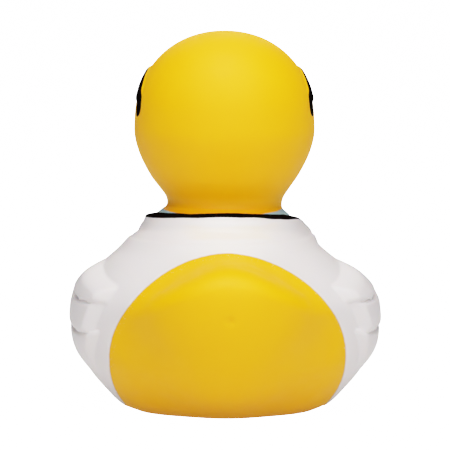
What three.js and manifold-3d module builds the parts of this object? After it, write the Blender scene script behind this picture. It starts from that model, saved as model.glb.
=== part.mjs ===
// A squeaky bath duck in a white coat: one hollow vinyl moulding,
// with a plastic squeaker pressed into its base.
// Millimetres, +Z up. The duck stands on z = 0 and faces -Y; +X is the duck's own left.
import * as THREE from "three";
import { mergeVertices } from "three/addons/utils/BufferGeometryUtils.js";
import Module from "manifold-3d";

const rad = THREE.MathUtils.degToRad;

// ---- Driving dimensions ----
const HEIGHT = 88;
const HEAD_RADIUS = 21.1;
const HEAD_Z = 66.3; // the head's widest height
const HEAD_POWER = 2.12; // 2 would be a ball; the crown is a little fuller
const WALL = 2.2; // vinyl thickness of the sides
const FLOOR = 2.4; // vinyl thickness of the base
const BODY_Y = -2; // centre of the body's sections, front to back
const HEAD_Y = -8; // centre of the head's sections: the head sits forward
const SPINE_FROM = 24; // the spine leans forward between these heights
const SPINE_TO = 52;
const BASE_DEPTH = 0.86; // front-to-back size of a section over its width, at the base
const BASE_TO = 13; // the base's proportions have become the body's at this height
const BODY_DEPTH = 0.96;
const HEAD_DEPTH = 1;
const COLLAR_Z = 45; // middle height of the collar, which is higher at the nape
const COLLAR_TILT = 0.04;
const COLLAR_ROLL = 0.03; // it is also a little higher on the duck's left
const COLLAR_REACH = 9;
const SWAY_Z = 36; // the shoulders are moulded a little toward the duck's left, most at this height
const SWAY = 1.05;
const SWAY_REACH = 11;

// Half-width of the duck against height, from under the base to the head's widest height.
const BODY_PROFILE = [
  [9, -2.3],
  [16, -1.6],
  [20.8, 0],
  [24.5, 1.8],
  [28, 5.3],
  [31.1, 9],
  [33.3, 12.7],
  [34, 17],
  [33.8, 22],
  [32.8, 26.5],
  [30.5, 30.7],
  [27.3, 34.2],
  [23.9, 37.1],
  [21.3, 39.7],
  [17.9, 42.4],
  [16.2, 44.5],
  [14.7, 45.9],
  [13.5, 47],
  [13.7, 49],
  [15.3, 51.4],
  [17.3, 54.2],
  [19.6, 58.6],
  [20.9, 62.8],
];
const PROFILE_STEPS = 6; // straight steps per stretch of the profile

// Ellipsoids: centre, half-sizes across, along, above and below, and tilt, the rear end rising.
const RUMP = { y: 14, z: 29, rx: 23.5, ry: 26, up: 16, down: 28, tilt: 0 };
const RUMP_BLEND = 4;
// The tail's top: its height above the tail's root, its place and fall,
// and how it arches down to the sides.
const TAIL = { top: 37.3, root: 23, fall: 0.12, arch: 0.85, round: 12, edge: 3.5 };

const UPPER_BILL = { y: -29.4, z: 61.2, rx: 9.4, ry: 10.4, up: 3.9, down: 3.4, tilt: -6 };
const LOWER_BILL = { y: -27.6, z: 57.6, rx: 7.8, ry: 9.4, up: 3, down: 3.2, tilt: 2 };
const BILL_BLEND = 2.5;
const MOUTH_BLEND = 0.8;

// A wing is one smooth dome in front: centre, half-length, half-height, and thickness below and above.
const WING = { y: -4, z: 23.1, ry: 18, rz: 11.7, low: 1, high: 2.8, from: 10, to: 27, edge: 7 };
const WING_SIDE = [12, 20]; // the relief grows in between these distances from the middle plane
// Behind, it parts into feathers: the top and its fall, the bottom, the rear end there and its lean.
const FEATHERS = [
  { top: 34.3, fall: 0.24, bottom: 25.9, rear: 16, lean: 0, bevel: 2.4, thick: 2.7 },
  { top: 27.4, fall: 0, bottom: 18.8, rear: 12.8, lean: 0.33, bevel: 2, thick: 2.4 },
  { top: 20.3, fall: 0, bottom: 8, rear: 9.2, lean: 0.5, bevel: 2, thick: 1.7 },
];
const FEATHER_UNDER = 2.2;
const FEATHER_END = 1.7;
const FEATHER_FADE = [9, 17]; // the relief fades out downward between these heights
const FEATHER_CURL = { by: 0.7, y: 10, reach: 7 };
const PARTING = [-7, 6]; // the dome turns into feathers between these places along Y

// The coat's neckline: angle round the neck from the nape, in degrees, positive to +X, and height.
const NECKLINE = [
  [0, 45.85],
  [20, 45.7],
  [40, 45.35],
  [60, 45.1],
  [80, 44.9],
  [95, 44.4],
  [115, 41.5],
  [135, 37.6],
  [155, 33.4],
  [171, 30.3],
  [180, 29.3],
  [189, 30.3],
  [205, 33.2],
  [225, 36.8],
  [248, 40],
  [264, 41.8],
  [276, 43.4],
  [290, 44.8],
  [315, 45.4],
  [340, 45.75],
];
const NECKLINE_STEPS = 5;
// The collar fades out below at the nape; in front it is a lapel with an edge.
// In between it changes over these degrees from the front.
const COLLAR = { width: 3.4, edge: 3.2, height: 1.3 };
const LAPEL = { width: 2.9, edge: 1.1, height: 1.1, side: [rad(60), rad(100)] };
const COLLAR_LIP = 0.9;

// Glasses: directions from the head's centre as degrees from the front and degrees up,
// with the ridge's half-width.
const LENS = { turn: 31, up: 15, ru: 8, rv: 7, half: 0.9 };
const TEMPLE = [
  [55, 20, 1.2],
  [68, 29, 1.3],
  [80, 33.5, 1.4],
  [89, 31.5, 1.6],
  [96, 25.5, 1.8],
  [99.5, 19.5, 1.9],
];
const BRIDGE = [
  [8, 17, 1],
  [0, 20, 1],
  [-8, 17, 1],
];
const GLASSES_HEIGHT = 0.55;
const GLASSES_EDGE = 0.6;

const SQUEAKER = {
  recessRadius: 9.6,
  recessDepth: 1.2,
  holeRadius: 7.2,
  flangeRadius: 9.2,
  flangeLow: 0.25,
  flangeHigh: 1.05,
  tubeRadius: 6.9,
  boreRadius: 5.4,
  barbRadius: 7.8,
  barbLow: 2.6,
  barbHigh: 4.6,
  top: 9,
  airHole: 1.5,
};
const REED = { halfWidth: 2.6, thick: 0.24, low: 1.4, high: 8 };
const HOLDER = { radius: 5.1, gap: 0.2, high: 8.8, channelHalf: 1.4, channelDepth: 2.2 };
const CLAMP_HIGH = 4.6;

// Grid of the outer skin's first net, and how far an edge may stray before it is split.
const SKIN_STEP = 3.1;
const SKIN_STRAY = [0.15, 0.3];
const CAVITY_STEP = 5;
const CAVITY_STRAY = [0.5];
const RELAX_ROUNDS = 3;
const ROUND_SEGMENTS = 40;

// ---- Small mathematics ----
const ramp = THREE.MathUtils.smoothstep; // ramp(value, low, high)
const mix = THREE.MathUtils.lerp;

function smoothMin(a, b, k) {
  const h = Math.max(k - Math.abs(a - b), 0) / k;
  return Math.min(a, b) - (h * h * k) / 4;
}

const smoothMax = (a, b, k) => -smoothMin(-a, -b, k);

// 1 at middle, falling to 0 at reach from it.
const bump = (value, middle, reach) => Math.max(0, 1 - ((value - middle) / reach) ** 2) ** 2;

// Distance to an ellipsoid centred on the middle plane and tilted about X, its rear end rising.
// Its top half and bottom half have heights of their own.
function ellipsoid(p, e) {
  const c = Math.cos(rad(e.tilt));
  const s = Math.sin(rad(e.tilt));
  const y = (p.y - e.y) * c + (p.z - e.z) * s;
  const z = (p.z - e.z) * c - (p.y - e.y) * s;
  const rz = z > 0 ? e.up : e.down;
  const k0 = Math.hypot(p.x / e.rx, y / e.ry, z / rz);
  const k1 = Math.hypot(p.x / e.rx ** 2, y / e.ry ** 2, z / rz ** 2);
  return k0 < 1e-6 ? -e.up : (k0 * (k0 - 1)) / k1;
}

// Distance from p to a path of points with a half-width each, less that half-width.
const chord = new THREE.Line3();
const nearest = new THREE.Vector3();
function pathDistance(p, path) {
  let best = Infinity;
  for (let i = 1; i < path.length; i++) {
    chord.set(path[i - 1].point, path[i].point);
    const t = chord.closestPointToPointParameter(p, true);
    chord.at(t, nearest);
    best = Math.min(best, nearest.distanceTo(p) - mix(path[i - 1].half, path[i].half, t));
  }
  return best;
}

// ---- The duck as a distance field ----
const headArc = [0, 13, 26, 39, 52, 65, 78].map((up) => [
  HEAD_RADIUS * Math.cos(rad(up)) ** (2 / HEAD_POWER),
  HEAD_Z + (HEIGHT - HEAD_Z) * Math.sin(rad(up)) ** (2 / HEAD_POWER),
]);
const bottom = [0, -2.4];
const mirrored = ([r, z]) => [-r, z];
const profile = new THREE.SplineCurve(
  [
    mirrored(BODY_PROFILE[0]),
    bottom,
    ...BODY_PROFILE,
    ...headArc,
    [0, HEIGHT],
    mirrored(headArc.at(-1)),
  ].map(([r, z]) => new THREE.Vector2(r, z)),
);
const outline = profile.getPoints(PROFILE_STEPS * (profile.points.length - 1));

// Signed distance to the outline in the plane of radius and height, negative inside.
function profileDistance(r, z) {
  let best = Infinity;
  let side = 1;
  for (let i = 1; i < outline.length; i++) {
    const a = outline[i - 1];
    const b = outline[i];
    const ux = b.x - a.x;
    const uz = b.y - a.y;
    const t = THREE.MathUtils.clamp(
      ((r - a.x) * ux + (z - a.y) * uz) / (ux * ux + uz * uz),
      0,
      1,
    );
    const d = Math.hypot(r - a.x - t * ux, z - a.y - t * uz);
    if (d < best) {
      best = d;
      side = Math.sign((r - a.x) * uz - (z - a.y) * ux) || 1;
    }
  }
  return side * best;
}

function core(p) {
  const lean = ramp(p.z, SPINE_FROM, SPINE_TO);
  const x = p.x - SWAY * bump(p.z, SWAY_Z, SWAY_REACH);
  const y = p.y - mix(BODY_Y, HEAD_Y, lean);
  const z = p.z - (COLLAR_TILT * y + COLLAR_ROLL * x) * bump(p.z, COLLAR_Z, COLLAR_REACH);
  const depth = mix(mix(BASE_DEPTH, BODY_DEPTH, ramp(p.z, 0, BASE_TO)), HEAD_DEPTH, lean);
  return profileDistance(Math.hypot(x, y / depth), z);
}

// The rump is cut off above by the tail's sloping, arched top.
function trunk(p) {
  const arch = TAIL.arch * (Math.hypot(p.x, TAIL.round) - TAIL.round);
  const lid = p.z - TAIL.top + TAIL.fall * (p.y - TAIL.root) + arch;
  return smoothMin(core(p), smoothMax(ellipsoid(p, RUMP), lid, TAIL.edge), RUMP_BLEND);
}

function gradient(field, p, step = 0.04) {
  const slope = new THREE.Vector3();
  const probe = new THREE.Vector3();
  for (const axis of ["x", "y", "z"]) {
    probe.copy(p)[axis] += step;
    const ahead = field(probe);
    probe.copy(p)[axis] -= step;
    slope[axis] = (ahead - field(probe)) / (2 * step);
  }
  return slope;
}

// Moves p on to the surface where field is 0.
function project(field, p, rounds = 5) {
  for (let i = 0; i < rounds; i++) {
    const g = gradient(field, p);
    const shift = field(p) / Math.max(g.lengthSq(), 0.2);
    p.addScaledVector(g, -THREE.MathUtils.clamp(shift, -1, 1));
  }
  return p;
}

// The neckline as a closed path on the trunk's surface.
const necklineCurve = new THREE.CatmullRomCurve3(
  NECKLINE.map(([turn, z]) => {
    const r = mix(36, 16, ramp(z, 26, 46));
    const angle = rad(turn);
    return project(trunk, new THREE.Vector3(r * Math.sin(angle), HEAD_Y + r * Math.cos(angle), z));
  }),
  true,
  "catmullrom",
);
const neckline = necklineCurve.getPoints(NECKLINE.length * NECKLINE_STEPS).slice(1);

// Height above the neckline at the same angle round the neck: below 0 is the coat.
const turnOf = (p) => (Math.atan2(p.x, p.y - HEAD_Y) + 2 * Math.PI) % (2 * Math.PI);
const heights = neckline.map((p) => [turnOf(p), p.z]).sort(([a], [b]) => a - b);
const lapBack = ([turn, z]) => [turn - 2 * Math.PI, z];
const lapOn = ([turn, z]) => [turn + 2 * Math.PI, z];
const necklineTable = [lapBack(heights.at(-1)), ...heights, lapOn(heights[0])];
function aboveNeckline(p) {
  const turn = turnOf(p);
  const next = necklineTable.findIndex(([t]) => t > turn);
  const [t0, z0] = necklineTable[next - 1];
  const [t1, z1] = necklineTable[next];
  return p.z - mix(z0, z1, (turn - t0) / (t1 - t0));
}

// Distance along the surface to the neckline, positive on the neck's side.
function necklineDistance(p) {
  const slope = gradient(aboveNeckline, p, 0.3);
  slope.projectOnPlane(gradient(trunk, p).normalize());
  return aboveNeckline(p) / Math.max(slope.length(), 0.35);
}

// The path of the glasses' ridge, on the sphere of the head.
function onHead([turn, up, half]) {
  const r = HEAD_RADIUS * Math.cos(rad(up));
  return {
    point: new THREE.Vector3(
      r * Math.sin(rad(turn)),
      HEAD_Y - r * Math.cos(rad(turn)),
      HEAD_Z + HEAD_RADIUS * Math.sin(rad(up)),
    ),
    half,
  };
}
const lensRim = Array.from({ length: 25 }, (_, i) => {
  const around = (i / 24) * 2 * Math.PI;
  const perMillimetre = THREE.MathUtils.radToDeg(1 / HEAD_RADIUS);
  const up = LENS.up + LENS.rv * perMillimetre * Math.sin(around);
  const turn = LENS.turn + (LENS.ru * perMillimetre * Math.cos(around)) / Math.cos(rad(up));
  return onHead([turn, up, LENS.half]);
});
const glasses = [lensRim, TEMPLE.map(onHead), BRIDGE.map(onHead)];

function glassesRelief(p) {
  if (p.z < HEAD_Z - HEAD_RADIUS / 2) return 0;
  const q = new THREE.Vector3(Math.abs(p.x), p.y - HEAD_Y, p.z - HEAD_Z).setLength(HEAD_RADIUS);
  q.add(new THREE.Vector3(0, HEAD_Y, HEAD_Z));
  const d = Math.min(...glasses.map((path) => pathDistance(q, path)));
  return GLASSES_HEIGHT * ramp(-d, -GLASSES_EDGE, GLASSES_EDGE);
}

function wingDome(p) {
  const a = Math.abs((p.y - WING.y) / WING.ry);
  const b = Math.abs((p.z - WING.z) / WING.rz);
  const level = Math.max(Math.cbrt(a ** 3 + b ** 3), 0.001);
  const slope = Math.hypot(a ** 2 / WING.ry, b ** 2 / WING.rz) / level ** 2;
  const u = THREE.MathUtils.clamp((1 - level) / Math.max(slope, 0.04) / WING.edge, 0, 1);
  return mix(WING.low, WING.high, ramp(p.z, WING.from, WING.to)) * u * (2 - u);
}

function wingFeathers(p) {
  const curl = FEATHER_CURL.by * ((p.y - FEATHER_CURL.y) / FEATHER_CURL.reach) ** 2;
  const raised = FEATHERS.map((f) => {
    const above = (f.top - f.fall * p.y - p.z) / f.bevel;
    const below = (p.z - f.bottom - curl) / FEATHER_UNDER;
    const behind = (f.rear + f.lean * (p.z - f.bottom) - p.y) / FEATHER_END;
    const inset = smoothMin(smoothMin(above, behind, 0.6), below, 0.4);
    const u = THREE.MathUtils.clamp(inset, 0, 1);
    return f.thick * u * (2 - u);
  });
  return Math.max(...raised) * ramp(p.z, ...FEATHER_FADE);
}

function wingRelief(p) {
  const parted = ramp(p.y, ...PARTING);
  return mix(wingDome(p), wingFeathers(p), parted) * ramp(Math.abs(p.x), ...WING_SIDE);
}

// The collar and lapels: a raised band below the neckline.
function collarRelief(p) {
  if (p.z < 22 || p.z > 52) return 0;
  const d = necklineDistance(p);
  if (d > COLLAR_LIP || d < -8) return 0;
  const front = 1 - ramp(Math.abs(turnOf(p) - Math.PI), ...LAPEL.side);
  const width = mix(COLLAR.width, LAPEL.width, front);
  const edge = mix(COLLAR.edge, LAPEL.edge, front);
  const band = 1 - ramp(-d, width - edge, width + edge);
  return mix(COLLAR.height, LAPEL.height, front) * Math.min(band, 1 - ramp(d, 0, COLLAR_LIP));
}

function duck(p) {
  const bill = smoothMin(ellipsoid(p, UPPER_BILL), ellipsoid(p, LOWER_BILL), MOUTH_BLEND);
  const form = trunk(p);
  const relief = wingRelief(p) + collarRelief(p) + glassesRelief(p);
  return smoothMin(form - relief, bill, BILL_BLEND);
}

// ---- From field to mesh ----
const LOW = [-42, -46, -10];
const HIGH = [42, 46, 94];

// A surface net: one vertex in each grid cell that the surface crosses,
// and one quad round each crossed grid edge.
function surfaceNet(field, step) {
  const n = LOW.map((low, i) => Math.ceil((HIGH[i] - low) / step) + 1);
  const at = (i, j, k) => i + n[0] * (j + n[1] * k);
  const node = (i, j, k) =>
    new THREE.Vector3(LOW[0] + i * step, LOW[1] + j * step, LOW[2] + k * step);
  const value = new Float32Array(n[0] * n[1] * n[2]);
  for (let k = 0; k < n[2]; k++)
    for (let j = 0; j < n[1]; j++)
      for (let i = 0; i < n[0]; i++) value[at(i, j, k)] = field(node(i, j, k)) || 1e-6;

  const corner = [0, 1, 2, 3, 4, 5, 6, 7].map((c) => [c & 1, (c >> 1) & 1, c >> 2]);
  const cellVertex = new Map();
  const vertices = [];
  for (let k = 0; k < n[2] - 1; k++)
    for (let j = 0; j < n[1] - 1; j++)
      for (let i = 0; i < n[0] - 1; i++) {
        const sum = new THREE.Vector3();
        let crossings = 0;
        corner.forEach(([a, b, c], low) => {
          for (const bit of [1, 2, 4]) {
            if (low & bit) continue;
            const [d, e, f] = corner[low | bit];
            const v0 = value[at(i + a, j + b, k + c)];
            const v1 = value[at(i + d, j + e, k + f)];
            if (v0 < 0 === v1 < 0) continue;
            sum.add(node(i + a, j + b, k + c).lerp(node(i + d, j + e, k + f), v0 / (v0 - v1)));
            crossings++;
          }
        });
        if (!crossings) continue;
        cellVertex.set(at(i, j, k), vertices.length);
        vertices.push(sum.divideScalar(crossings));
      }

  const triangles = [];
  const unit = [
    [1, 0, 0],
    [0, 1, 0],
    [0, 0, 1],
  ];
  for (let k = 1; k < n[2] - 1; k++)
    for (let j = 1; j < n[1] - 1; j++)
      for (let i = 1; i < n[0] - 1; i++)
        unit.forEach((u, axis) => {
          const v0 = value[at(i, j, k)];
          const v1 = value[at(i + u[0], j + u[1], k + u[2])];
          if (v0 < 0 === v1 < 0) return;
          const a = unit[(axis + 1) % 3];
          const b = unit[(axis + 2) % 3];
          const cell = (s, t) =>
            cellVertex.get(
              at(i - s * a[0] - t * b[0], j - s * a[1] - t * b[1], k - s * a[2] - t * b[2]),
            );
          const quad = [cell(0, 0), cell(1, 0), cell(1, 1), cell(0, 1)];
          if (v0 > 0) quad.reverse();
          const [p, q, r, s] = quad;
          if (vertices[p].distanceTo(vertices[r]) < vertices[q].distanceTo(vertices[s]))
            triangles.push([p, q, r], [p, r, s]);
          else triangles.push([p, q, s], [q, r, s]);
        });
  return { vertices, triangles };
}

// Evens out the net: each vertex moves toward the middle of its neighbours, then back on to the surface.
function relax({ vertices, triangles }, field) {
  const around = vertices.map(() => new Set());
  triangles.forEach((t) => t.forEach((v, i) => around[v].add(t[(i + 1) % 3]).add(t[(i + 2) % 3])));
  const centres = around.map((ring) => {
    const sum = new THREE.Vector3();
    ring.forEach((v) => sum.add(vertices[v]));
    return sum.divideScalar(ring.size);
  });
  vertices.forEach((v, i) => project(field, v.lerp(centres[i], 0.5)));
}

// Splits each edge whose middle strays from the surface, and the triangles beside it.
function refine({ vertices, triangles }, field, stray) {
  const middles = new Map();
  const middleOf = (a, b) => {
    const key = a < b ? a + "_" + b : b + "_" + a;
    if (!middles.has(key)) {
      const flat = vertices[a].clone().lerp(vertices[b], 0.5);
      const round = project(field, flat.clone());
      middles.set(key, round.distanceTo(flat) > stray ? vertices.push(round) - 1 : -1);
    }
    return middles.get(key);
  };
  const split = triangles.flatMap((t) => {
    const m = t.map((v, i) => middleOf(v, t[(i + 1) % 3]));
    const cuts = m.filter((x) => x >= 0).length;
    if (cuts === 0) return [t];
    if (cuts === 3)
      return [m, [t[0], m[0], m[2]], [t[1], m[1], m[0]], [t[2], m[2], m[1]]];
    const turn = cuts === 1 ? m.findIndex((x) => x >= 0) : (m.findIndex((x) => x < 0) + 1) % 3;
    const [a, b, c] = [0, 1, 2].map((i) => t[(i + turn) % 3]);
    const [ab, bc] = [m[turn], m[(turn + 1) % 3]];
    if (cuts === 1)
      return [
        [a, ab, c],
        [ab, b, c],
      ];
    return [
      [ab, b, bc],
      [a, ab, c],
      [ab, bc, c],
    ];
  });
  return { vertices, triangles: split };
}

// ---- Solids ----
const wasm = await Module();
wasm.setup();

function solidOf(geometry) {
  const bare = geometry.clone();
  for (const name of ["normal", "uv"]) bare.deleteAttribute(name);
  const merged = mergeVertices(bare, 1e-4);
  return new wasm.Manifold(
    new wasm.Mesh({
      numProp: 3,
      vertProperties: merged.attributes.position.array,
      triVerts: new Uint32Array(merged.index.array),
    }),
  );
}

function geometryOf(solid) {
  const mesh = solid.getMesh();
  const geometry = new THREE.BufferGeometry();
  geometry.setAttribute("position", new THREE.BufferAttribute(mesh.vertProperties, 3));
  geometry.setIndex(new THREE.BufferAttribute(mesh.triVerts, 1));
  return geometry;
}

function geometryOfNet({ vertices, triangles }) {
  const geometry = new THREE.BufferGeometry();
  geometry.setAttribute(
    "position",
    new THREE.Float32BufferAttribute(vertices.flatMap((v) => v.toArray()), 3),
  );
  geometry.setIndex(triangles.flat());
  return geometry;
}

// A solid of revolution about Z from a closed outline of [radius, height] points, listed anticlockwise.
function turned(points) {
  const loop = [...points, points[0]].map(([r, z]) => new THREE.Vector2(r, z));
  return new THREE.LatheGeometry(loop, ROUND_SEGMENTS).rotateX(Math.PI / 2);
}

const disc = (radius, low, high) =>
  turned([
    [0, low],
    [radius, low],
    [radius, high],
    [0, high],
  ]);

const slab = (low, high) =>
  new THREE.BoxGeometry(200, 200, high - low).translate(0, 0, (low + high) / 2);

function meshOf(field, step, strays) {
  const net = surfaceNet(field, step);
  for (let i = 0; i < RELAX_ROUNDS; i++) relax(net, field);
  return strays.reduce((coarse, stray) => refine(coarse, field, stray), net);
}

function shellGeometry() {
  const hollow = (p) => trunk(p) + WALL;
  const skin = meshOf(duck, SKIN_STEP, SKIN_STRAY);
  const cavity = meshOf(hollow, CAVITY_STEP, CAVITY_STRAY);
  const s = SQUEAKER;
  const room = solidOf(geometryOfNet(cavity)).subtract(solidOf(slab(-20, FLOOR)));
  return geometryOf(
    solidOf(geometryOfNet(skin))
      .subtract(solidOf(slab(-20, 0)))
      .subtract(room)
      .subtract(solidOf(disc(s.recessRadius, -1, s.recessDepth)))
      .subtract(solidOf(disc(s.holeRadius, -1, FLOOR + 1))),
  );
}

// The squeaker's cup: a flange with an air hole, and a tube whose barb grips the vinyl from inside.
function housingGeometry() {
  const s = SQUEAKER;
  return turned([
    [s.airHole, s.flangeLow],
    [s.flangeRadius, s.flangeLow],
    [s.flangeRadius, s.flangeHigh],
    [s.tubeRadius, s.flangeHigh],
    [s.tubeRadius, s.barbLow],
    [s.barbRadius, s.barbLow],
    [s.tubeRadius, s.barbHigh],
    [s.tubeRadius, s.top],
    [s.boreRadius, s.top],
    [s.boreRadius, s.flangeHigh],
    [s.airHole, s.flangeHigh],
  ]);
}

// Half a round plug on the +Y side of the reed, with the channel that the air blows through.
function holderGeometry() {
  const { radius, gap, channelHalf, channelDepth, high } = HOLDER;
  const edge = Math.asin(gap / radius);
  const shape = new THREE.Shape();
  shape.absarc(0, 0, radius, edge, Math.PI - edge, false);
  shape.lineTo(-channelHalf, gap);
  shape.lineTo(-channelHalf, channelDepth);
  shape.lineTo(channelHalf, channelDepth);
  shape.lineTo(channelHalf, gap);
  return extruded(shape, REED.low, high);
}

function clampGeometry() {
  const edge = Math.asin(HOLDER.gap / HOLDER.radius);
  const shape = new THREE.Shape();
  shape.absarc(0, 0, HOLDER.radius, Math.PI + edge, 2 * Math.PI - edge, false);
  return extruded(shape, REED.low, CLAMP_HIGH);
}

function reedGeometry() {
  return new THREE.BoxGeometry(
    2 * REED.halfWidth,
    REED.thick,
    REED.high - REED.low,
  ).translate(0, 0, (REED.low + REED.high) / 2);
}

function extruded(shape, low, high) {
  const options = { depth: high - low, bevelEnabled: false, curveSegments: ROUND_SEGMENTS / 2 };
  return new THREE.ExtrudeGeometry(shape, options).translate(0, 0, low);
}

// ---- The scene graph ----
const vinyl = new THREE.MeshStandardMaterial({ color: 0xf2c21e, roughness: 0.55 });
const natural = new THREE.MeshStandardMaterial({ color: 0xe9e6dc, roughness: 0.5 });
const brass = new THREE.MeshStandardMaterial({ color: 0xb08d3c, roughness: 0.35, metalness: 1 });

function piece(name, geometry, material) {
  const mesh = new THREE.Mesh(geometry, material);
  mesh.name = name;
  return mesh;
}

const squeaker = new THREE.Group();
squeaker.add(
  piece("squeaker_housing", housingGeometry(), natural),
  piece("squeaker_reed_holder", holderGeometry(), natural),
  piece("squeaker_reed_clamp", clampGeometry(), natural),
  piece("squeaker_reed", reedGeometry(), brass),
);

const duckModel = new THREE.Group();
duckModel.add(piece("duck_shell", shellGeometry(), vinyl), squeaker);

export default duckModel;
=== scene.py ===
"""The looks of a squeaky bath duck in a painted white coat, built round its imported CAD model.

The duck's skin is a distance field in millimetres, meshed finely here. Paint is decided by
smooth distances stored on the vertices, which the vinyl's material turns into crisp edges.
"""

import math

import bpy
import numpy as np
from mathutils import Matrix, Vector


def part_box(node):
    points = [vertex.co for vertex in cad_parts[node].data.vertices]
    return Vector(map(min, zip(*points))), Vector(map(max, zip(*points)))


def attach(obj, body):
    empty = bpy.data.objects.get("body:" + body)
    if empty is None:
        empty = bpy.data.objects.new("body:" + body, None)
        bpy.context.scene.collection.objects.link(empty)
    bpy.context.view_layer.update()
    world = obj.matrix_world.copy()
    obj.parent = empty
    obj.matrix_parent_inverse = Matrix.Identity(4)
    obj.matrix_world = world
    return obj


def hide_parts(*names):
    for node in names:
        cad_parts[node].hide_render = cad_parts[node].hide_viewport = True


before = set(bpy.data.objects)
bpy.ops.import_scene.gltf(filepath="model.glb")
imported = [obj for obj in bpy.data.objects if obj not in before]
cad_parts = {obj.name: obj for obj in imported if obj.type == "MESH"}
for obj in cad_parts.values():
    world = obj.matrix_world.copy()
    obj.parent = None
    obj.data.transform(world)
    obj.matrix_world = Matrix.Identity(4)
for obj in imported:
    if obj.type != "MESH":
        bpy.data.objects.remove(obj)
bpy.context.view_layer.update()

# ---- Dimensions of the moulding, in millimetres and degrees ----
HEIGHT = 88.0
HEAD_RADIUS = 21.1
HEAD_Z = 66.3
HEAD_POWER = 2.12
WALL = 2.2
FLOOR = 2.4
BODY_Y = -2.0
HEAD_Y = -8.0
SPINE_FROM, SPINE_TO = 24.0, 52.0
BASE_DEPTH, BODY_DEPTH, HEAD_DEPTH = 0.86, 0.96, 1.0
BASE_TO = 13.0
COLLAR_Z, COLLAR_TILT, COLLAR_ROLL, COLLAR_REACH = 45.0, 0.04, 0.03, 9.0
SWAY_Z, SWAY, SWAY_REACH = 36.0, 1.05, 11.0

# Half-width against height, from under the base to the head's widest height.
BODY_PROFILE = [
    (9, -2.3),
    (16, -1.6),
    (20.8, 0),
    (24.5, 1.8),
    (28, 5.3),
    (31.1, 9),
    (33.3, 12.7),
    (34, 17),
    (33.8, 22),
    (32.8, 26.5),
    (30.5, 30.7),
    (27.3, 34.2),
    (23.9, 37.1),
    (21.3, 39.7),
    (17.9, 42.4),
    (16.2, 44.5),
    (14.7, 45.9),
    (13.5, 47),
    (13.7, 49),
    (15.3, 51.4),
    (17.3, 54.2),
    (19.6, 58.6),
    (20.9, 62.8),
]

# Ellipsoids: centre y and z, half-sizes across, along, above and below, tilt, its rear end rising.
RUMP = (14, 29, 23.5, 26, 16, 28, 0)
RUMP_BLEND = 4
# The tail's top: its height at the root, the root's y, and its fall to the rear.
TAIL_TOP, TAIL_ROOT, TAIL_FALL = 37.3, 23, 0.12
# How it arches down to the sides, and how round its edge is.
TAIL_ARCH, TAIL_ROUND, TAIL_EDGE = 0.85, 12, 3.5
UPPER_BILL = (-29.4, 61.2, 9.4, 10.4, 3.9, 3.4, -6)
LOWER_BILL = (-27.6, 57.6, 7.8, 9.4, 3, 3.2, 2)
BILL_BLEND, MOUTH_BLEND = 2.5, 0.8

# A wing is one smooth dome in front: centre y and z, half-length, half-height.
WING = (-4, 23.1, 18, 11.7)
# Its thickness below and above these heights, the width of its edge, and its reach toward the spine.
WING_THICK, WING_THICK_Z = (1.0, 2.8), (10, 27)
WING_EDGE, WING_MIN_SLOPE = 7, 0.04
WING_SIDE = (12, 20)
# Behind, it parts into feathers: top and its fall, bottom, rear end there and its lean,
# top bevel, thickness.
FEATHERS = [
    (34.3, 0.24, 25.9, 16, 0, 2.4, 2.7),
    (27.4, 0, 18.8, 12.8, 0.33, 2.0, 2.4),
    (20.3, 0, 8, 9.2, 0.5, 2.0, 1.7),
]
FEATHER_UNDER, FEATHER_END, FEATHER_FADE = 1.5, 1.7, (9, 17)
FEATHER_CORNER, FEATHER_CREST = 0.6, 0.4
FEATHER_CURL, CURL_Y, CURL_REACH = 0.7, 10, 7
PART_FROM, PART_TO = -7, 6

# Neckline of the coat: angle round the neck from the nape, positive to +X, and height.
NECKLINE = [
    (0, 45.85),
    (20, 45.7),
    (40, 45.35),
    (60, 45.1),
    (80, 44.9),
    (95, 44.4),
    (115, 41.5),
    (135, 37.6),
    (155, 33.4),
    (171, 30.3),
    (180, 29.3),
    (189, 30.3),
    (205, 33.2),
    (225, 36.8),
    (248, 40),
    (264, 41.8),
    (276, 43.4),
    (290, 44.8),
    (315, 45.4),
    (340, 45.75),
]
NECKLINE_STEPS = 12
# The lapel at the nape and in front, with the degrees from the front where one becomes the other.
LAPEL_WIDTH, LAPEL_EDGE, LAPEL_HEIGHT, LAPEL_LIP = (3.4, 2.9), (3.2, 1.1), (1.3, 1.1), 0.9
LAPEL_SIDE = (60, 100)
PIPING_RADIUS, PIPING_HEIGHT = 0.6, 0.35
LAPEL_BAND = (22, 52)
# The black line round the collar: its edges from the neckline, and the brush's marks behind.
TRIM_LOW, TRIM_HIGH = -0.5, 0.7
TRIM_BRUSH, TRIM_BRUSH_X = 0.2, (16, 9)
TRIM_ARCH, TRIM_ARCH_X = 0.25, (-3, 14)
FRONT_EDGE_X, FRONT_EDGE_DEPTH, FRONT_EDGE_WIDTH = 1.6, 0.3, 0.4
# The rump's unpainted oval: sizes, and powers across and up of its lower half and upper quarters.
OVAL_Z, OVAL_WIDTH, OVAL_UP, OVAL_DOWN = 14.5, 27.1, 23.8, 21
OVAL_LOW, OVAL_LEFT, OVAL_RIGHT = (2.4, 2.4), (1.83, 1.83), (1.7, 2.0)
VENT_Z, VENT_RADIUS, VENT_DEPTH = 24.9, 0.8, 0.45
VENT_FROM_Y = 20
COAT_STEP, COAT_STEP_WIDTH, COAT_TOP, COAT_BOTTOM = 0.18, 0.35, 40, 1.6

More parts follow.
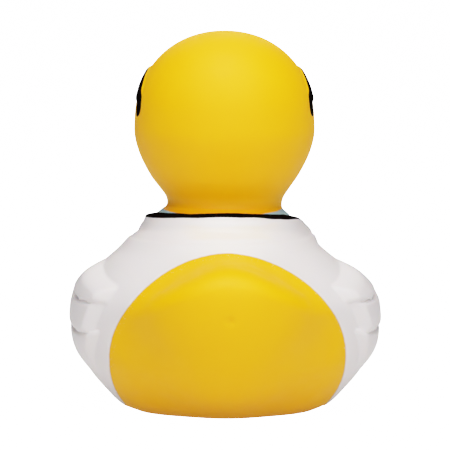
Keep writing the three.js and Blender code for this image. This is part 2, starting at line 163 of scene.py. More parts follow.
# Glasses: degrees from the front, degrees up, half-width.
LENS_TURN, LENS_UP, LENS_ACROSS, LENS_TALL, LENS_HALF = 31, 15, 8, 7, 0.9
TEMPLE = [
    (55, 20, 1.2),
    (68, 29, 1.3),
    (80, 33.5, 1.4),
    (89, 31.5, 1.6),
    (96, 25.5, 1.8),
    (99.5, 19.5, 1.9),
]
TEMPLE_TIP = [(102.5, 14, 2.1), (103.5, 10.8, 2.1)]
BRIDGE = [(8, 17, 1), (0, 20, 1), (-8, 17, 1)]
GLASSES_HEIGHT, GLASSES_EDGE = 0.55, 0.6

# Paint: the shirt's upper edge, the bill's edge, and the eyes as degrees from the front,
# degrees up and half-sizes.
SHIRT_TOP, SHIRT_TILT = 46.7, -0.05
# The coat is painted whiter behind the collar, a painted highlight where light from above catches its
# slope, with a narrow creamy streak across it.
NAPE_Z, NAPE_SIZE = 41, (17, 14)
STREAK_Z, STREAK_SIZE = 42.3, (9.5, 1.5)
BILL_EDGE = 0.5
EYE_PAINT = {
    "eye": (29, 14, 5.2, 5.6),
    "pupil": (26, 13, 2.7, 3.3),
    "glint": (28.5, 17, 0.8, 0.8),
}

FACE_FROM = HEAD_Z - 12
NECK_PAINT = (20, 54)
FAR = 20

# The squeaker's seat: the recess round the housing's flange, and the hole above it.
RECESS_GAP, RECESS_DEPTH, HOLE_RADIUS = 0.4, 1.2, 7.2

SKIN_STEP = 0.6
CAVITY_STEP = 2.0
NET_BAND = 4.5
RELAX_ROUNDS = 2
TABLE_STEP = 0.2
LOW = np.array([-40.0, -43.0, -5.0])
HIGH = np.array([40.0, 43.0, 91.0])
MM = 0.001


# ---- Small mathematics, on arrays ----
def ramp(value, low, high):
    t = np.clip((value - low) / (high - low), 0, 1)
    return t * t * (3 - 2 * t)


def bump(value, middle, reach):
    """1 at middle, falling to 0 at reach from it."""
    return np.maximum(0, 1 - ((value - middle) / reach) ** 2) ** 2


def mix(a, b, t):
    return a + (b - a) * t


def smooth_min(a, b, k):
    h = np.maximum(k - np.abs(a - b), 0) / k
    return np.minimum(a, b) - h * h * k / 4


def smooth_max(a, b, k):
    return -smooth_min(-a, -b, k)


def catmull_rom(points, steps, closed=False):
    """Points along a uniform Catmull-Rom curve through points."""
    p = np.asarray(points, float)
    n = len(p)
    spans = n if closed else n - 1
    t = np.arange(steps)[:, None] / steps
    found = []
    for i in range(spans):
        if closed:
            a, b, c, d = (p[(i + j) % n] for j in (-1, 0, 1, 2))
        else:
            a, b, c, d = (p[min(max(i + j, 0), n - 1)] for j in (-1, 0, 1, 2))
        u, v = (c - a) / 2, (d - b) / 2
        square, cube = 3 * c - 3 * b - 2 * u - v, 2 * b - 2 * c + u + v
        found.append(b + u * t + square * t**2 + cube * t**3)
    found.append(p[:1] if closed else p[-1:])
    return np.concatenate(found)


def ellipsoid(p, shape):
    cy, cz, rx, ry, up, down, tilt = shape
    c, s = math.cos(math.radians(tilt)), math.sin(math.radians(tilt))
    x = p[:, 0]
    y = (p[:, 1] - cy) * c + (p[:, 2] - cz) * s
    z = (p[:, 2] - cz) * c - (p[:, 1] - cy) * s
    rz = np.where(z > 0, up, down)
    k0 = np.sqrt((x / rx) ** 2 + (y / ry) ** 2 + (z / rz) ** 2)
    k1 = np.sqrt((x / rx**2) ** 2 + (y / ry**2) ** 2 + (z / rz**2) ** 2)
    return k0 * (k0 - 1) / np.maximum(k1, 1e-9)


def path_distance(p, path, half):
    """Distance from each point to a path, less the path's half-width there."""
    best = np.full(len(p), np.inf)
    for i in range(len(path) - 1):
        a, ab = path[i], path[i + 1] - path[i]
        t = np.clip((p - a) @ ab / (ab @ ab), 0, 1)
        d = np.linalg.norm(p - a - t[:, None] * ab, axis=1)
        best = np.minimum(best, d - mix(half[i], half[i + 1], t))
    return best


# ---- The trunk: a turned profile with a leaning spine, and the rump ----
def trunk_outline():
    arc = [
        (
            HEAD_RADIUS * math.cos(math.radians(up)) ** (2 / HEAD_POWER),
            HEAD_Z + (HEIGHT - HEAD_Z) * math.sin(math.radians(up)) ** (2 / HEAD_POWER),
        )
        for up in (0, 13, 26, 39, 52, 65, 78)
    ]
    first, last = BODY_PROFILE[0], arc[-1]
    bottom, top = (0, -2.4), (0, HEIGHT)
    before, after = (-first[0], first[1]), (-last[0], last[1])
    return catmull_rom([before, bottom, *BODY_PROFILE, *arc, top, after], 8)


def outline_table():
    """Signed distance to the outline on a grid of radius and height."""
    outline = trunk_outline()
    radii = np.arange(0, 62, TABLE_STEP)
    heights = np.arange(LOW[2] - 12, HIGH[2] + 12, TABLE_STEP)
    r, z = np.meshgrid(radii, heights, indexing="ij")
    best = np.full(r.shape, np.inf)
    side = np.ones(r.shape)
    for (ar, az), (br, bz) in zip(outline[:-1], outline[1:]):
        ur, uz = br - ar, bz - az
        t = np.clip(((r - ar) * ur + (z - az) * uz) / (ur * ur + uz * uz), 0, 1)
        d = np.hypot(r - ar - t * ur, z - az - t * uz)
        closer = d < best
        best = np.where(closer, d, best)
        side = np.where(closer, np.sign((r - ar) * uz - (z - az) * ur), side)
    return heights[0], best * side


TABLE_LOW, TABLE = outline_table()


def profile_distance(r, z):
    i = np.clip(r / TABLE_STEP, 0, TABLE.shape[0] - 1.001)
    j = np.clip((z - TABLE_LOW) / TABLE_STEP, 0, TABLE.shape[1] - 1.001)
    i0, j0 = i.astype(int), j.astype(int)
    fi, fj = i - i0, j - j0
    low = mix(TABLE[i0, j0], TABLE[i0 + 1, j0], fi)
    high = mix(TABLE[i0, j0 + 1], TABLE[i0 + 1, j0 + 1], fi)
    return mix(low, high, fj)


def trunk(p):
    lean = ramp(p[:, 2], SPINE_FROM, SPINE_TO)
    y = p[:, 1] - mix(BODY_Y, HEAD_Y, lean)
    x = p[:, 0] - SWAY * bump(p[:, 2], SWAY_Z, SWAY_REACH)
    z = p[:, 2] - (COLLAR_TILT * y + COLLAR_ROLL * x) * bump(p[:, 2], COLLAR_Z, COLLAR_REACH)
    depth = mix(mix(BASE_DEPTH, BODY_DEPTH, ramp(p[:, 2], 0, BASE_TO)), HEAD_DEPTH, lean)
    core = profile_distance(np.hypot(x, y / depth), z)
    arch = TAIL_ARCH * (np.hypot(p[:, 0], TAIL_ROUND) - TAIL_ROUND)
    lid = p[:, 2] - TAIL_TOP + TAIL_FALL * (p[:, 1] - TAIL_ROOT) + arch
    return smooth_min(core, smooth_max(ellipsoid(p, RUMP), lid, TAIL_EDGE), RUMP_BLEND)


def gradient(field, p, eps=0.04):
    columns = []
    for axis in range(3):
        step = np.zeros(3)
        step[axis] = eps
        columns.append((field(p + step) - field(p - step)) / (2 * eps))
    return np.stack(columns, axis=1)


def project(field, p, rounds=3):
    for _ in range(rounds):
        g = gradient(field, p)
        shift = field(p) / np.maximum((g * g).sum(axis=1), 0.2)
        p = p - g * np.clip(shift, -1, 1)[:, None]
    return p


# ---- Neckline and glasses, as paths on the surface ----
def neckline_path():
    turn = np.radians([t for t, _ in NECKLINE])
    z = np.array([h for _, h in NECKLINE], float)
    r = mix(36, 16, ramp(z, 26, 46))  # roughly on the trunk; the projection does the rest
    points = np.stack([r * np.sin(turn), HEAD_Y + r * np.cos(turn), z], axis=1)
    return catmull_rom(project(trunk, points, 6), NECKLINE_STEPS, closed=True)


def turn_of(p):
    return np.arctan2(p[:, 0], p[:, 1] - HEAD_Y) % (2 * np.pi)


neckline = neckline_path()
order = np.argsort(turn_of(neckline[:-1]))
neck_turns, neck_heights = turn_of(neckline[:-1])[order], neckline[:-1][order, 2]


def above_neckline(p):
    return p[:, 2] - np.interp(turn_of(p), neck_turns, neck_heights, period=2 * np.pi)


def neckline_distance(p):
    """Distance along the surface to the neckline, positive on the neck's side."""
    normal = gradient(trunk, p)
    slope = gradient(above_neckline, p, 0.3)
    slope -= (slope * normal).sum(axis=1, keepdims=True) * normal
    return above_neckline(p) / np.maximum(np.linalg.norm(slope, axis=1), 0.35)


def on_head(points):
    turn, up = np.radians([q[0] for q in points]), np.radians([q[1] for q in points])
    r = HEAD_RADIUS * np.cos(up)
    z = HEAD_Z + HEAD_RADIUS * np.sin(up)
    place = np.stack([r * np.sin(turn), HEAD_Y - r * np.cos(turn), z], axis=1)
    return place, [q[2] for q in points]


def ring_on_head(turn, up, across, tall, half, count=48):
    ring = []
    for i in range(count + 1):
        a = 2 * math.pi * i / count
        u = up + math.degrees(tall / HEAD_RADIUS) * math.sin(a)
        t = turn + math.degrees(across / HEAD_RADIUS) * math.cos(a) / math.cos(math.radians(u))
        ring.append((t, u, half))
    return ring


LENS_RIM = on_head(ring_on_head(LENS_TURN, LENS_UP, LENS_ACROSS, LENS_TALL, LENS_HALF))
RAISED = [LENS_RIM, on_head(TEMPLE), on_head(BRIDGE)]
PAINTED = [LENS_RIM, on_head(TEMPLE + TEMPLE_TIP), on_head(BRIDGE)]


def glasses_distance(p, paths):
    q = np.stack([np.abs(p[:, 0]), p[:, 1] - HEAD_Y, p[:, 2] - HEAD_Z], axis=1)
    q *= (HEAD_RADIUS / np.maximum(np.linalg.norm(q, axis=1), 1e-6))[:, None]
    q += [0, HEAD_Y, HEAD_Z]
    return np.minimum.reduce([path_distance(q, path, half) for path, half in paths])


def glasses_relief(p):
    return GLASSES_HEIGHT * ramp(-glasses_distance(p, RAISED), -GLASSES_EDGE, GLASSES_EDGE)


def spot_distance(p, turn, up, across, tall):
    """Distance outside an oval spot on either side of the face."""
    x, y, z = np.abs(p[:, 0]), HEAD_Y - p[:, 1], p[:, 2] - HEAD_Z
    r = np.maximum(np.sqrt(x * x + y * y + z * z), 1e-6)
    u = HEAD_RADIUS * math.cos(math.radians(up)) * (np.arctan2(x, y) - math.radians(turn))
    v = HEAD_RADIUS * (np.arcsin(z / r) - math.radians(up))
    return (np.hypot(u / across, v / tall) - 1) * min(across, tall)


# ---- Reliefs on the trunk ----
def wing_dome(p):
    cy, cz, ry, rz = WING
    a, b = np.abs((p[:, 1] - cy) / ry), np.abs((p[:, 2] - cz) / rz)
    level = np.maximum((a**3 + b**3) ** (1 / 3), 1e-3)
    slope = np.hypot(a**2 / ry, b**2 / rz) / level**2
    u = np.clip((1 - level) / np.maximum(slope, WING_MIN_SLOPE) / WING_EDGE, 0, 1)
    return mix(*WING_THICK, ramp(p[:, 2], *WING_THICK_Z)) * u * (2 - u)


def wing_feathers(p):
    y, z = p[:, 1], p[:, 2]
    raised = np.zeros(len(p))
    for top, fall, bottom, rear, lean, top_bevel, thick in FEATHERS:
        above = (top - fall * y - z) / top_bevel
        curl = FEATHER_CURL * ((y - CURL_Y) / CURL_REACH) ** 2
        below = (z - bottom - curl) / FEATHER_UNDER
        behind = (rear + lean * (z - bottom) - y) / FEATHER_END
        corner = smooth_min(above, behind, FEATHER_CORNER)
        u = np.clip(smooth_min(corner, below, FEATHER_CREST), 0, 1)
        raised = np.maximum(raised, thick * u * (2 - u))
    return raised * ramp(z, *FEATHER_FADE)


def wing_relief(p):
    parted = ramp(p[:, 1], PART_FROM, PART_TO)
    return mix(wing_dome(p), wing_feathers(p), parted) * ramp(np.abs(p[:, 0]), *WING_SIDE)


def oval_distance(p):
    """Below 0 inside the rump's unpainted oval, seen from behind."""
    above = p[:, 2] > OVAL_Z
    side = np.where(p[:, :1] > 0, OVAL_LEFT, OVAL_RIGHT)
    across, up = np.where(above[:, None], side, OVAL_LOW).T
    tall = np.where(above, OVAL_UP, OVAL_DOWN)
    q = np.abs(p[:, 0] / OVAL_WIDTH) ** across + np.abs((p[:, 2] - OVAL_Z) / tall) ** up
    flat = (q ** (1 / across) - 1) * OVAL_WIDTH * 0.92
    return np.where(p[:, 1] > 0, flat, FAR)


def near(p, mask, field, default):
    """field's values where mask is true, and default elsewhere."""
    found = np.full(len(p), float(default))
    if mask.any():
        found[mask] = field(p[mask])
    return found


def bill_distance(p):
    return smooth_min(ellipsoid(p, UPPER_BILL), ellipsoid(p, LOWER_BILL), MOUTH_BLEND)


def duck(p):
    form = trunk(p)

    def collar(mask):
        d = neckline_distance(p[mask])
        front = 1 - ramp(np.abs(turn_of(p[mask]) - np.pi), *np.radians(LAPEL_SIDE))
        width, edge = mix(*LAPEL_WIDTH, front), mix(*LAPEL_EDGE, front)
        band = 1 - ramp(-d, width - edge, width + edge)
        lip = 1 - ramp(d, 0, LAPEL_LIP)
        piping = PIPING_HEIGHT * (1 - ramp(np.abs(d), PIPING_RADIUS * 0.4, PIPING_RADIUS * 1.6))
        return mix(*LAPEL_HEIGHT, front) * np.minimum(band, lip) + piping

    relief = wing_relief(p)
    zone = (p[:, 2] > LAPEL_BAND[0]) & (p[:, 2] < LAPEL_BAND[1])
    relief[zone] += collar(zone)
    coat = p[:, 2] < COAT_TOP
    step = ramp(oval_distance(p[coat]), 0, COAT_STEP_WIDTH)
    seam = np.exp(-(((p[coat, 0] - FRONT_EDGE_X) / FRONT_EDGE_WIDTH) ** 2))
    below = above_neckline(p[coat]) < 0
    relief[coat] += below * COAT_STEP * step
    relief[coat] -= below * (p[coat, 1] < 0) * FRONT_EDGE_DEPTH * seam
    vent = np.exp(-(p[:, 0] ** 2 + (p[:, 2] - VENT_Z) ** 2) / VENT_RADIUS**2)
    relief -= (p[:, 1] > VENT_FROM_Y) * VENT_DEPTH * vent
    relief += near(p, p[:, 2] > FACE_FROM, glasses_relief, 0)
    return smooth_min(form - relief, bill_distance(p), BILL_BLEND)


# ---- From field to mesh ----
def surface_net(field, coarse, step):
    """A mesh of field's zero surface: a vertex in each crossed cell, a quad round each crossed edge.
    coarse is a cheap field that differs from field by less than NET_BAND."""
    n = np.ceil((HIGH - LOW) / step).astype(int) + 1
    axes = [LOW[i] + step * np.arange(n[i]) for i in range(3)]
    nodes = np.stack(np.meshgrid(*axes, indexing="ij"), axis=-1).reshape(-1, 3)
    value = coarse(nodes)
    band = np.abs(value) < NET_BAND
    value[band] = field(nodes[band])
    value = value.reshape(n)
    inside = value < 0

    total = np.zeros((*(n - 1), 3))
    crossings = np.zeros(n - 1)
    corners = [(a, b, c) for a in (0, 1) for b in (0, 1) for c in (0, 1)]

    def cut(array, at):
        return array[tuple(slice(o, m - 1 + o) for o, m in zip(at, n))]

    for a in corners:
        for axis in range(3):
            if a[axis]:
                continue
            b = tuple(1 if i == axis else o for i, o in enumerate(a))
            va, vb = cut(value, a), cut(value, b)
            crossed = cut(inside, a) != cut(inside, b)
            t = np.where(crossed, va / np.where(crossed, va - vb, 1), 0)
            for i in range(3):
                total[..., i] += crossed * (a[i] + (t if i == axis else 0))
            crossings += crossed
    active = crossings > 0
    index = np.full(n - 1, -1)
    index[active] = np.arange(active.sum())
    cells = np.argwhere(active)
    vertices = LOW + step * (cells + total[active] / crossings[active][:, None])

    quads = []
    for axis in range(3):
        a, b = (axis + 1) % 3, (axis + 2) % 3
        ahead = np.roll(inside, -1, axis=axis)
        crossed = inside != ahead
        spot = np.argwhere(crossed)
        spot = spot[(spot[:, axis] < n[axis] - 1) & (spot[:, a] > 0) & (spot[:, b] > 0)]
        spot = spot[(spot[:, a] < n[a] - 1) & (spot[:, b] < n[b] - 1)]
        ring = []
        for da, db in ((0, 0), (1, 0), (1, 1), (0, 1)):
            cell = spot.copy()
            cell[:, a] -= da
            cell[:, b] -= db
            ring.append(index[tuple(cell.T)])
        quad = np.stack(ring, axis=1)
        outward = ~inside[tuple(spot.T)]
        quad[outward] = quad[outward][:, ::-1]
        quads.append(quad)
    quads = np.concatenate(quads)
    p, q, r, s = (vertices[quads[:, i]] for i in range(4))
    first = np.linalg.norm(p - r, axis=1) < np.linalg.norm(q - s, axis=1)
    one, two = quads[first], quads[~first]
    halves = [one[:, [0, 1, 2]], one[:, [0, 2, 3]], two[:, [0, 1, 3]], two[:, [1, 2, 3]]]
    triangles = np.concatenate(halves)
    return relax(vertices, triangles, field), triangles


def relax(vertices, triangles, field):
    """Evens out the net, keeping it on the surface."""
    ends = np.concatenate([triangles[:, [0, 1]], triangles[:, [1, 2]], triangles[:, [2, 0]]])
    count = np.bincount(ends[:, 0], minlength=len(vertices))
    vertices = project(field, vertices)
    for _ in range(RELAX_ROUNDS):
        sums = [np.bincount(ends[:, 0], vertices[ends[:, 1], i], len(vertices)) for i in range(3)]
        middle = np.stack([total / count for total in sums], axis=1)
        vertices = project(field, mix(vertices, middle, 0.5), 2)
    return vertices


def mesh_object(name, vertices, triangles):
    mesh = bpy.data.meshes.new(name)
    mesh.from_pydata((vertices * MM).tolist(), [], triangles.tolist())
    mesh.validate()
    piece = bpy.data.objects.new(name, mesh)
    bpy.context.scene.collection.objects.link(piece)
    return piece


def cylinder(name, radius, low, high, count=96):
    turns = 2 * np.pi * np.arange(count) / count
    ring = np.stack([radius * np.cos(turns), radius * np.sin(turns)], axis=1)
    vertices = np.concatenate([np.column_stack([ring, np.full(count, z)]) for z in (low, high)])
    faces = [list(range(count))[::-1], list(range(count, 2 * count))]
    faces += [[i, (i + 1) % count, count + (i + 1) % count, count + i] for i in range(count)]
    mesh = bpy.data.meshes.new(name)
    mesh.from_pydata((vertices * MM).tolist(), [], faces)
    piece = bpy.data.objects.new(name, mesh)
    bpy.context.scene.collection.objects.link(piece)
    return piece


def subtract(piece, cutter):
    """Cuts cutter out of piece for good, and removes cutter."""
    cut = piece.modifiers.new("cut", "BOOLEAN")
    cut.operation = "DIFFERENCE"
    cut.solver = "MANIFOLD"
    cut.object = cutter
    bpy.context.view_layer.objects.active = piece
    with bpy.context.temp_override(object=piece, active_object=piece):
        bpy.ops.object.modifier_apply(modifier=cut.name)
    bpy.data.objects.remove(cutter)


def rough_duck(p):
    return smooth_min(trunk(p), ellipsoid(p, UPPER_BILL), 1)


def hollow(p):
    return trunk(p) + WALL


def duck_skin():
    skin = mesh_object("duck_skin", *surface_net(duck, rough_duck, SKIN_STEP))
    cavity = mesh_object("cavity", *surface_net(hollow, hollow, CAVITY_STEP))
    subtract(cavity, cylinder("below_floor", 60, -20, FLOOR))
    subtract(skin, cylinder("below_base", 60, -20, 0))
    subtract(skin, cavity)
    _, housing_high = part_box("squeaker_housing")
    flange = housing_high[0] / MM
    subtract(skin, cylinder("recess", flange + RECESS_GAP, -1, RECESS_DEPTH))
    subtract(skin, cylinder("hole", HOLE_RADIUS, -1, FLOOR + 1))
    return skin


def add_attribute(mesh, name, values):
    attribute = mesh.attributes.new(name, "FLOAT", "POINT")
    attribute.data.foreach_set("value", values.astype(np.float32))


def paint(piece):
    """Stores on each vertex its distance to the edge of each paint, in millimetres,
    below 0 where the paint is."""
    mesh = piece.data
    flat = np.empty(3 * len(mesh.vertices))
    mesh.vertices.foreach_get("co", flat)
    p = flat.reshape(-1, 3) / MM
    x, y, z = p.T
    outer = trunk(p) > -WALL / 2
    zone = outer & (z > NECK_PAINT[0]) & (z < NECK_PAINT[1])
    neck = near(p, zone, neckline_distance, 0)
    neck[~zone] = np.where(z[~zone] > COAT_TOP, FAR, -FAR)
    coat = np.maximum(neck, -oval_distance(p))
    coat = np.maximum(coat, COAT_BOTTOM - z)
    coat = np.where(outer, coat, FAR)
    brushed = np.where(y > HEAD_Y, TRIM_BRUSH * bump(x, *TRIM_BRUSH_X), 0)
    arched = np.where(y > HEAD_Y, TRIM_ARCH * bump(x, *TRIM_ARCH_X), 0)
    middle, half = (TRIM_LOW + TRIM_HIGH) / 2, (TRIM_HIGH - TRIM_LOW) / 2
    add_attribute(mesh, "neckline", neck)
    add_attribute(mesh, "trim", np.abs(neck - middle - arched) - half - brushed)
    add_attribute(mesh, "coat", coat)
    add_attribute(mesh, "shirt", z - SHIRT_TOP - SHIRT_TILT * (y - HEAD_Y))
    in_front = np.where(y > HEAD_Y, 0, FAR)
    # nape marks where the coat's painted highlight lies; streak marks the creamy streak.
    (nape_x, nape_z), (streak_x, streak_z) = NAPE_SIZE, STREAK_SIZE
    nape = np.hypot(x / nape_x, (z - NAPE_Z) / nape_z)
    streak = np.maximum(np.abs(x) / streak_x, np.abs(z - STREAK_Z) / streak_z)
    add_attribute(mesh, "nape", nape + in_front)
    add_attribute(mesh, "streak", streak + in_front)
    face = outer & (z > FACE_FROM)
    add_attribute(mesh, "glasses", near(p, face, lambda q: glasses_distance(q, PAINTED), FAR))
    add_attribute(mesh, "bill", bill_distance(p) - BILL_EDGE)
    for name, spot in EYE_PAINT.items():
        add_attribute(mesh, name, near(p, face, lambda q: spot_distance(q, *spot), FAR))


# ---- Materials ----
def linear(red, green, blue):
    """A colour given as 0 to 255 on screen."""
    on = [c / 255 for c in (red, green, blue)]
    return (*[c / 12.92 if c <= 0.04045 else ((c + 0.055) / 1.055) ** 2.4 for c in on], 1)


YELLOW = linear(253, 178, 0)
YELLOW_DEEP = linear(250, 170, 0)
# A painted shade of the yellow, for the crease round the foot of the neck.
YELLOW_PAINTED_SHADE = linear(226, 138, 0)
COAT_WHITE = linear(229, 222, 222)
# The coat's painted highlight, whiter than its white.
COAT_PAINTED_HIGHLIGHT = linear(249, 243, 240)
# A creamy colour for a narrow streak across the coat below the collar.
COAT_STREAK_CREAM = linear(248, 226, 196)
# A darker paint edge with the painted shadow of the coat's raised step.
PAINT_EDGE_AND_STEP_SHADOW = linear(150, 116, 66)
SHIRT_BLUE = linear(150, 186, 196)
BLACK = linear(9, 6, 5)
ORANGE = linear(236, 112, 10)
EYE_WHITE = linear(246, 246, 244)
NATURAL = linear(226, 222, 208)
NATURAL_DARK = linear(206, 200, 184)
BRASS = linear(196, 158, 84)
BRASS_DARK = linear(120, 92, 48)


class Nodes:
    """A material's node tree, with short ways to add to it."""

    def __init__(self, name):
        self.material = bpy.data.materials.new(name)
        self.material.use_nodes = True
        self.tree = self.material.node_tree
        self.shader = self.tree.nodes["Principled BSDF"]
        self.place = self.tree.nodes.new("ShaderNodeTexCoord").outputs["Object"]

    def set(self, socket, value):
        if isinstance(value, bpy.types.NodeSocket):
            self.tree.links.new(value, socket)
        else:
            socket.default_value = value

    def shade(self, **values):
        for name, value in values.items():
            self.set(self.shader.inputs[name.replace("_", " ")], value)

    def is_camera_ray(self):
        return self.tree.nodes.new("ShaderNodeLightPath").outputs["Is Camera Ray"]

    def attribute(self, name):
        node = self.tree.nodes.new("ShaderNodeAttribute")
        node.attribute_name = name
        return node.outputs["Fac"]

    def maths(self, operation, a, b=0.0):
        node = self.tree.nodes.new("ShaderNodeMath")
        node.operation = operation
        self.set(node.inputs[0], a)
        self.set(node.inputs[1], b)
        return node.outputs[0]

    def length(self, vector):
        node = self.tree.nodes.new("ShaderNodeVectorMath")
        node.operation = "LENGTH"
        self.set(node.inputs[0], vector)
        return node.outputs["Value"]

    def fade(self, value, low, high, start=0.0, end=1.0):
        """start where value is at low, end where it is at high, smooth between."""
        node = self.tree.nodes.new("ShaderNodeMapRange")
        node.interpolation_type = "SMOOTHSTEP"
        for name, given in (("Value", value), ("From Min", low), ("From Max", high)):
            self.set(node.inputs[name], given)
        self.set(node.inputs["To Min"], start)
        self.set(node.inputs["To Max"], end)
        return node.outputs["Result"]

    def noise(self, size, detail=2.0, roughness=0.5):
        """Noise with features of size millimetres, from 0 to 1."""
        node = self.tree.nodes.new("ShaderNodeTexNoise")
        self.set(node.inputs["Vector"], self.place)
        self.set(node.inputs["Scale"], 1 / (size * MM))
        self.set(node.inputs["Detail"], detail)
        self.set(node.inputs["Roughness"], roughness)
        return node.outputs["Fac"]

    def blend(self, below, above, amount):
        node = self.tree.nodes.new("ShaderNodeMix")
        node.data_type = "RGBA"
        self.set(node.inputs["Factor"], amount)
        colour_a, colour_b, colour_out = 6, 7, 2
        self.set(node.inputs[colour_a], below)
        self.set(node.inputs[colour_b], above)
        return node.outputs[colour_out]

    def bump(self, height, strength, depth):
        node = self.tree.nodes.new("ShaderNodeBump")
        self.set(node.inputs["Height"], height)
        self.set(node.inputs["Strength"], strength)
        self.set(node.inputs["Distance"], depth * MM)
        return node.outputs["Normal"]


def painted_vinyl():
    """Yellow vinyl with every paint on it. Each paint's edge is a distance stored on the vertices."""
    n = Nodes("painted_vinyl")
    soft = 0.07  # half the width of a paint's edge, in millimetres
    wobble = n.maths("MULTIPLY", n.maths("SUBTRACT", n.noise(1.6, 3), 0.5), 0.16)

    def zone(name):
        return n.fade(n.maths("ADD", n.attribute(name), wobble), soft, -soft)

    cloud = n.fade(n.noise(9, 3), 0.3, 0.7)
    colour = n.blend(YELLOW, YELLOW_DEEP, n.maths("MULTIPLY", cloud, 0.16))
    # Painted shade: the yellow turns deeper orange close round the neckline, in the crease at the
    # foot of the neck.
    shaded = n.fade(n.maths("ABSOLUTE", n.attribute("neckline")), 4.5, 0.5, 0, 0.7)
    colour = n.blend(colour, YELLOW_PAINTED_SHADE, shaded)
    coat = zone("coat")
    shirt = n.maths("MULTIPLY", zone("shirt"), n.maths("SUBTRACT", 1, zone("neckline")))
    brush = n.maths("MULTIPLY", n.maths("SUBTRACT", n.noise(9, 1), 0.5), 0.9)
    brushed = n.maths("ADD", n.attribute("trim"), brush)
    trim = n.fade(n.maths("ADD", brushed, wobble), soft, -soft)
    dust = n.fade(n.noise(0.35, 2), 0.68, 0.72)
    overspray = n.maths("MULTIPLY", n.fade(n.attribute("coat"), 1.8, 0.0), dust)
    white = n.maths("MAXIMUM", coat, n.maths("MULTIPLY", overspray, 0.75))
    # Painted highlight: the coat is whiter round the nape, where light from above catches its slope.
    cloth = n.blend(COAT_WHITE, COAT_PAINTED_HIGHLIGHT, n.fade(n.attribute("nape"), 1, 0))
    # A narrow creamy streak across the coat below the collar.
    streak = n.fade(n.maths("ADD", n.attribute("streak"), brush), 1.3, 0.7, 0, 0.45)
    cloth = n.blend(cloth, COAT_STREAK_CREAM, streak)
    colour = n.blend(colour, cloth, white)
    # A thin darker line along the coat's edges: partly a darker paint edge, partly a painted shadow
    # of the coat's raised step.
    edge_and_shadow = n.fade(n.maths("ABSOLUTE", n.maths("ADD", n.attribute("coat"), wobble)), 0.26, 0.06)
    colour = n.blend(colour, PAINT_EDGE_AND_STEP_SHADOW, n.maths("MULTIPLY", edge_and_shadow, 0.35))
    colour = n.blend(colour, SHIRT_BLUE, shirt)
    colour = n.blend(colour, BLACK, trim)
    colour = n.blend(colour, ORANGE, zone("bill"))
    colour = n.blend(colour, EYE_WHITE, zone("eye"))
    colour = n.blend(colour, BLACK, zone("pupil"))
    colour = n.blend(colour, EYE_WHITE, zone("glint"))
    glasses = zone("glasses")
    colour = n.blend(colour, BLACK, glasses)
    gloss = n.maths("MAXIMUM", glasses, zone("pupil"))
    matt = n.maths("SUBTRACT", 1, n.maths("MAXIMUM", trim, glasses))
    grain = n.noise(0.5, 3)
    rough = n.fade(n.noise(5, 2), 0.3, 0.7, 0.5, 0.58)
    rough = n.maths("SUBTRACT", rough, n.maths("MULTIPLY", n.maths("MAXIMUM", gloss, coat), 0.15))
    n.shade(
        Base_Color=colour,
        Roughness=rough,
        Specular_IOR_Level=n.maths("MULTIPLY", n.fade(coat, 0, 1, 0.14, 0.6), matt),
        Subsurface_Weight=0.12,
        Subsurface_Radius=(1.0, 0.45, 0.12),
        Subsurface_Scale=0.003,
        Normal=n.bump(grain, 0.12, 0.05),
    )
    return n.material


def moulded_plastic():
    n = Nodes("natural_plastic")
    colour = n.blend(NATURAL, NATURAL_DARK, n.fade(n.noise(3, 3), 0.35, 0.7))
    n.shade(
        Base_Color=colour,
        Roughness=n.fade(n.noise(1.5), 0.3, 0.7, 0.38, 0.5),
        Subsurface_Weight=0.1,
        Subsurface_Scale=0.002,
        Normal=n.bump(n.noise(0.4, 3), 0.15, 0.04),
    )
    return n.material


def reed_brass():
    n = Nodes("reed_brass")
    tarnish = n.fade(n.noise(1.2, 4), 0.45, 0.75)
    n.shade(
        Base_Color=n.blend(BRASS, BRASS_DARK, n.maths("MULTIPLY", tarnish, 0.5)),
        Metallic=1.0,
        Roughness=n.fade(tarnish, 0, 1, 0.28, 0.5),
        Normal=n.bump(n.noise(0.25, 2), 0.1, 0.02),
    )
    return n.material


# ---- The pieces ----
skin = duck_skin()
paint(skin)
skin.data.shade_smooth()
skin.data.set_sharp_from_angle(angle=math.radians(40))
skin.data.materials.clear()
skin.data.materials.append(painted_vinyl())
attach(skin, "root")
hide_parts("duck_shell")

plastic, brass = moulded_plastic(), reed_brass()
for name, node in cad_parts.items():
    if name.startswith("squeaker"):
        for slot in node.material_slots:
            slot.link = "OBJECT"
            slot.material = brass if name == "squeaker_reed" else plastic


# ---- Camera, light and floor ----
WHITE_LIGHT, SHOULDER = 6.0, 2
CAMERA_AZIMUTH, CAMERA_ELEVATION, CAMERA_DISTANCE = 178.4, 5, 1.0
CAMERA_TARGET, FRAME_WIDTH, SENSOR_WIDTH = (0.0001, 0, 0.0431), 0.1047, 36
LIGHT_DISTANCE = 0.9


def toward(azimuth, elevation):
    """The direction from the duck to a viewer: azimuth 0 faces the bill, 180 the tail."""
    a, e = math.radians(azimuth), math.radians(elevation)
    return Vector((math.sin(a) * math.cos(e), -math.cos(a) * math.cos(e), math.sin(e)))


def aimed(name, data, place, target):
    thing = bpy.data.objects.new(name, data)
    thing.location = place
    thing.rotation_euler = (place - target).to_track_quat("Z", "Y").to_euler()
    bpy.context.scene.collection.objects.link(thing)
    return thing


def softbox(name, azimuth, elevation, size, power):
    light = bpy.data.lights.new(name, "AREA")
    light.shape = "RECTANGLE"
    light.size = light.size_y = size
    light.energy = power
    middle = Vector((0, 0, HEIGHT * MM / 2))
    aimed(name, light, middle + toward(azimuth, elevation) * LIGHT_DISTANCE, middle)


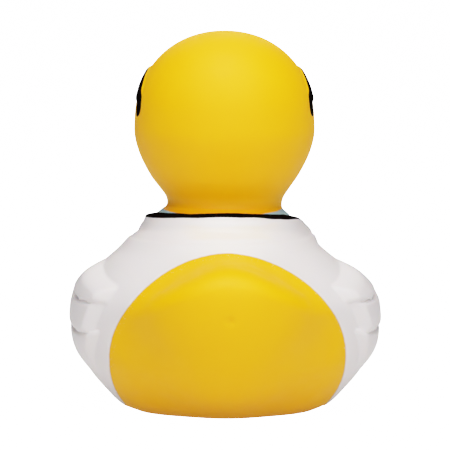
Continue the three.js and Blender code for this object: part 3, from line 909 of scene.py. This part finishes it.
camera_data = bpy.data.cameras.new("camera")
camera_data.sensor_width = SENSOR_WIDTH
camera_data.lens = SENSOR_WIDTH * CAMERA_DISTANCE / FRAME_WIDTH
target = Vector(CAMERA_TARGET)
view = toward(CAMERA_AZIMUTH, CAMERA_ELEVATION)
bpy.context.scene.camera = aimed("camera", camera_data, target + view * CAMERA_DISTANCE, target)

# A bank of softboxes behind the duck, brighter above and to the right: elevation, then the
# power at each azimuth. One more hangs overhead, and a weak one stands in front.
BANK_AZIMUTHS = (150, 180, 210)
BANK = {15: (0.66, 1.03, 1.25), 42: (0.86, 1.1, 1.48), 65: (2.1, 2.5, 2.55)}
for elevation, powers in BANK.items():
    for azimuth, power in zip(BANK_AZIMUTHS, powers):
        softbox(f"bank_{azimuth}_{elevation}", azimuth, elevation, 0.5, power)
softbox("overhead", 180, 84, 0.6, 2.7)
softbox("front", 0, 35, 0.6, 1.5)

world = bpy.data.worlds.new("studio")
world.use_nodes = True
bpy.context.scene.world = world
tree = world.node_tree
lit = tree.nodes["Background"]
lit.inputs["Color"].default_value = (1, 1, 1, 1)
lit.inputs["Strength"].default_value = 0.07
seen = tree.nodes.new("ShaderNodeBackground")
seen.inputs["Color"].default_value = (1, 1, 1, 1)
seen.inputs["Strength"].default_value = WHITE_LIGHT
path = tree.nodes.new("ShaderNodeLightPath")
choose = tree.nodes.new("ShaderNodeMixShader")
tree.links.new(path.outputs["Is Camera Ray"], choose.inputs["Fac"])
tree.links.new(lit.outputs[0], choose.inputs[1])
tree.links.new(seen.outputs[0], choose.inputs[2])
tree.links.new(choose.outputs[0], tree.nodes["World Output"].inputs["Surface"])

# The floor glows a little less close round the duck, where the duck hides the light.
floor_mesh = bpy.data.meshes.new("floor")
floor_mesh.from_pydata([(-9, -40, 0), (9, -40, 0), (9, 9, 0), (-9, 9, 0)], [], [(0, 1, 2, 3)])
floor = bpy.data.objects.new("floor", floor_mesh)
bpy.context.scene.collection.objects.link(floor)
paper = Nodes("paper")
bounce = paper.fade(paper.length(paper.place), 0.015, 0.05, 0.33, 0.45)
paper.shade(
    Base_Color=(0.5, 0.5, 0.5, 1),
    Roughness=0.9,
    Specular_IOR_Level=0.0,
    Emission_Color=(1, 1, 1, 1),
    Emission_Strength=paper.fade(paper.is_camera_ray(), 0, 1, bounce, 5.5),
)
floor_mesh.materials.append(paper.material)

# A film-like shoulder: bright light is rolled off softly, up to full white.
view_settings = bpy.context.scene.view_settings
view_settings.view_transform = "Standard"
view_settings.use_curve_mapping = True
tone = view_settings.curve_mapping
tone.white_level = (WHITE_LIGHT, WHITE_LIGHT, WHITE_LIGHT)
combined = tone.curves[3]


def rolled_off(light):
    return light / (1 + light**SHOULDER) ** (1 / SHOULDER)


for i in range(1, 12):
    light = WHITE_LIGHT * (i / 12) ** 2
    combined.points.new(light / WHITE_LIGHT, rolled_off(light) / rolled_off(WHITE_LIGHT))
tone.update()
